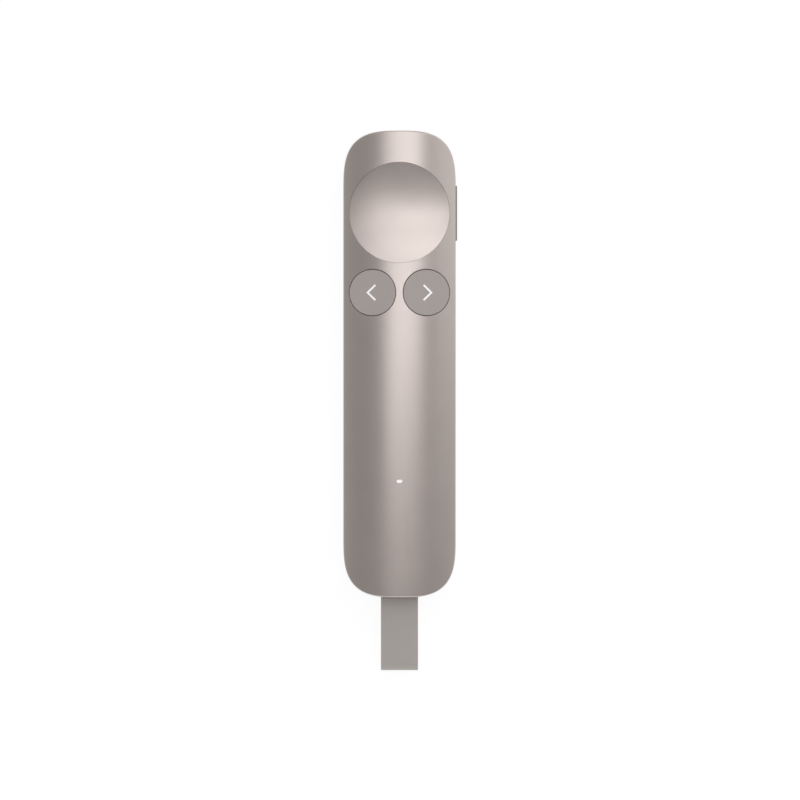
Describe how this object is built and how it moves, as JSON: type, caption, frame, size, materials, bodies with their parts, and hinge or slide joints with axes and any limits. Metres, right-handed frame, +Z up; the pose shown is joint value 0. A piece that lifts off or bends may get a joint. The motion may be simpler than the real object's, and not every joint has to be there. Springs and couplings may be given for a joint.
{
  "type": "wireless presentation clicker",
  "caption": "Slim hand-held presentation clicker: crowned pod, dished pointer key, back, next and side keys, status light, and a radio receiver on a pull strap docked in the tail.",
  "frame": {"origin": "centre of the body's flat underside, halfway along and across the body, strap left out", "axes": "+Z up out of the key side, +Y along the body to the nose, away from the strap, +X to the flank with the side key"},
  "size_m": [0.0285, 0.1349, 0.0124],
  "materials": {
    "shell_metal": "satin anodised in a warm sand colour, finely bead blasted",
    "dish_metal": "the same sand anodising, bead blasted",
    "key_plastic": "fine matte, warm grey",
    "side_key_plastic": "satin, darker warm grey",
    "sleeve_metal": "satin, sand colour",
    "receiver_plastic": "fine matte, dark taupe",
    "strap_rubber": "smooth silicone, taupe",
    "plug_steel": "drawn stainless, satin",
    "contact_carrier": "black moulded nylon",
    "pin_steel": "ground",
    "chassis_plastic": "black glass-filled moulding",
    "screw_steel": "black zinc plated",
    "board_laminate": "green solder mask",
    "shield_steel": "tinned, satin",
    "chip_epoxy": "black moulding compound",
    "antenna_ceramic": "white ceramic",
    "led_package": "white package",
    "light_clear": "milky clear acrylic",
    "cell_foil": "laminated foil pouch",
    "foam_pad": "closed-cell foam",
    "nickel_strip": "nickel strip",
    "switch_case": "black moulding",
    "plunger_plastic": "natural nylon"
  },
  "bodies": {
    "body": {"top_shell": "shell_metal", "bottom_shell": "shell_metal", "chassis": "chassis_plastic", "chassis_screws": "screw_steel", "main_board": "board_laminate", "radio_shield": "shield_steel", "charging_chip": "chip_epoxy", "motion_sensor": "chip_epoxy", "chip_antenna": "antenna_ceramic", "status_led": "led_package", "light_guide": "light_clear", "battery_cell": "cell_foil", "battery_foam": "foam_pad", "battery_tabs": "nickel_strip", "pointer_switch": "switch_case", "back_switch": "switch_case", "next_switch": "switch_case", "side_switch": "switch_case", "dock_sleeve": "sleeve_metal", "charge_socket": "plug_steel", "socket_tongue": "contact_carrier"},
    "pointer_key": {"pointer_button": "dish_metal", "pointer_plunger": "plunger_plastic"},
    "back_key": {"back_button": "key_plastic", "back_plunger": "plunger_plastic"},
    "next_key": {"next_button": "key_plastic", "next_plunger": "plunger_plastic"},
    "flank_key": {"side_key": "side_key_plastic", "side_plunger": "plunger_plastic"},
    "receiver": {"receiver_cap": "receiver_plastic", "receiver_front": "receiver_plastic", "receiver_plug": "plug_steel", "receiver_insert": "contact_carrier", "receiver_board": "board_laminate", "strap_pin": "pin_steel", "pull_strap": "strap_rubber"}
  },
  "joints": [
    {"name": "pointer_press", "type": "slide", "parent": "body", "child": "pointer_key", "axis": [0, 0, -1], "range_m": [0, 0.00025], "stiffness_N_per_m": 250, "springref_m": -0.002},
    {"name": "back_press", "type": "slide", "parent": "body", "child": "back_key", "axis": [0, 0, -1], "range_m": [0, 0.0003], "stiffness_N_per_m": 250, "springref_m": -0.002},
    {"name": "next_press", "type": "slide", "parent": "body", "child": "next_key", "axis": [0, 0, -1], "range_m": [0, 0.0003], "stiffness_N_per_m": 250, "springref_m": -0.002},
    {"name": "side_press", "type": "slide", "parent": "body", "child": "flank_key", "axis": [-1, 0, 0], "range_m": [0, 0.0003], "stiffness_N_per_m": 250, "springref_m": -0.002},
    {"name": "receiver_pull", "type": "slide", "parent": "body", "child": "receiver", "axis": [0, -1, 0], "range_m": [0, 0.02]}
  ]
}
